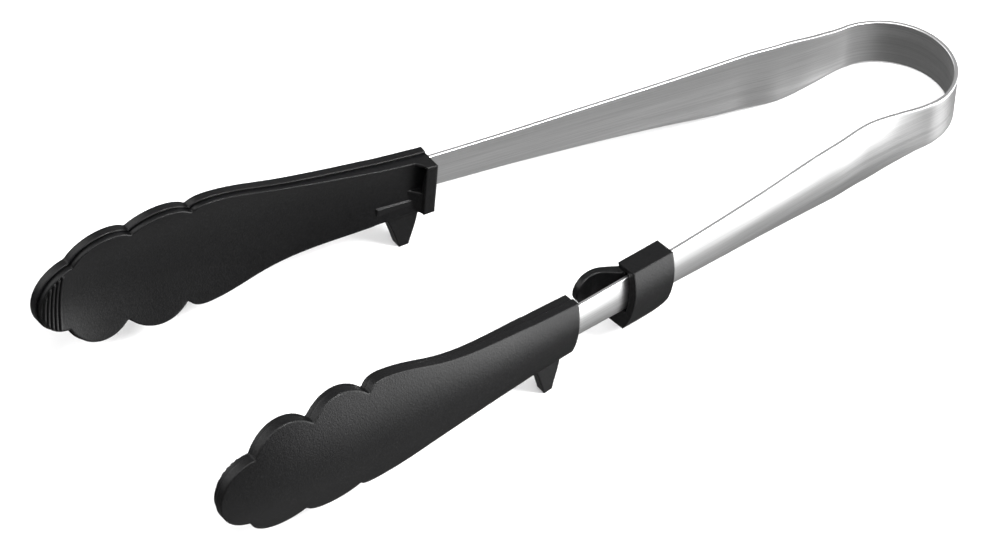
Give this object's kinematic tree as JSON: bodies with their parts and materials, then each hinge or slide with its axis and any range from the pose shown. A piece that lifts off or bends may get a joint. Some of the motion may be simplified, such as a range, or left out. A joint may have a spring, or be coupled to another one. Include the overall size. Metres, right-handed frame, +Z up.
{
  "type": "kitchen tongs",
  "caption": "Spring-loaded kitchen tongs: a bent steel strip carries scalloped nylon heads with feet, and a sliding hook lock on one arm.",
  "frame": {"origin": "centre of the footprint box on the surface the tongs lie on", "axes": "+X from the head tips towards the spring bend, +Y from the near arm (with the lock) to the far arm, +Z up"},
  "size_m": [0.252, 0.089, 0.0439],
  "materials": {
    "steel": "satin brushed",
    "nylon": "fine grain satin"
  },
  "bodies": {
    "bend": {"spring_bend": "steel"},
    "far_arm": {"far_arm_blade": "steel", "far_head_outer_shell": "nylon", "far_head_inner_shell": "nylon"},
    "near_arm": {"near_arm_blade": "steel", "near_head_outer_shell": "nylon", "near_head_inner_shell": "nylon"},
    "lock": {"lock_slider": "nylon"}
  },
  "joints": [
    {"name": "far_arm_flex", "type": "hinge", "parent": "bend", "child": "far_arm", "pos_m": [0.11957, 0.01273, 0.0071], "axis": [0.091, 0, 0.9959], "range_deg": [0, 8.85], "stiffness_Nm_per_rad": 3.9, "deforming": ["spring_bend"]},
    {"name": "near_arm_flex", "type": "hinge", "parent": "bend", "child": "near_arm", "pos_m": [0.11957, -0.01273, 0.0071], "axis": [-0.091, 0, -0.9959], "range_deg": [0, 8.85], "stiffness_Nm_per_rad": 3.9, "deforming": ["spring_bend"]},
    {"name": "lock_slide", "type": "slide", "parent": "near_arm", "child": "lock", "axis": [-0.9873, -0.1305, 0.0902], "range_m": [0, 0.0148]}
  ],
  "couplings": [
    {"joint": "near_arm_flex", "follows": "far_arm_flex", "ratio": 1}
  ]
}
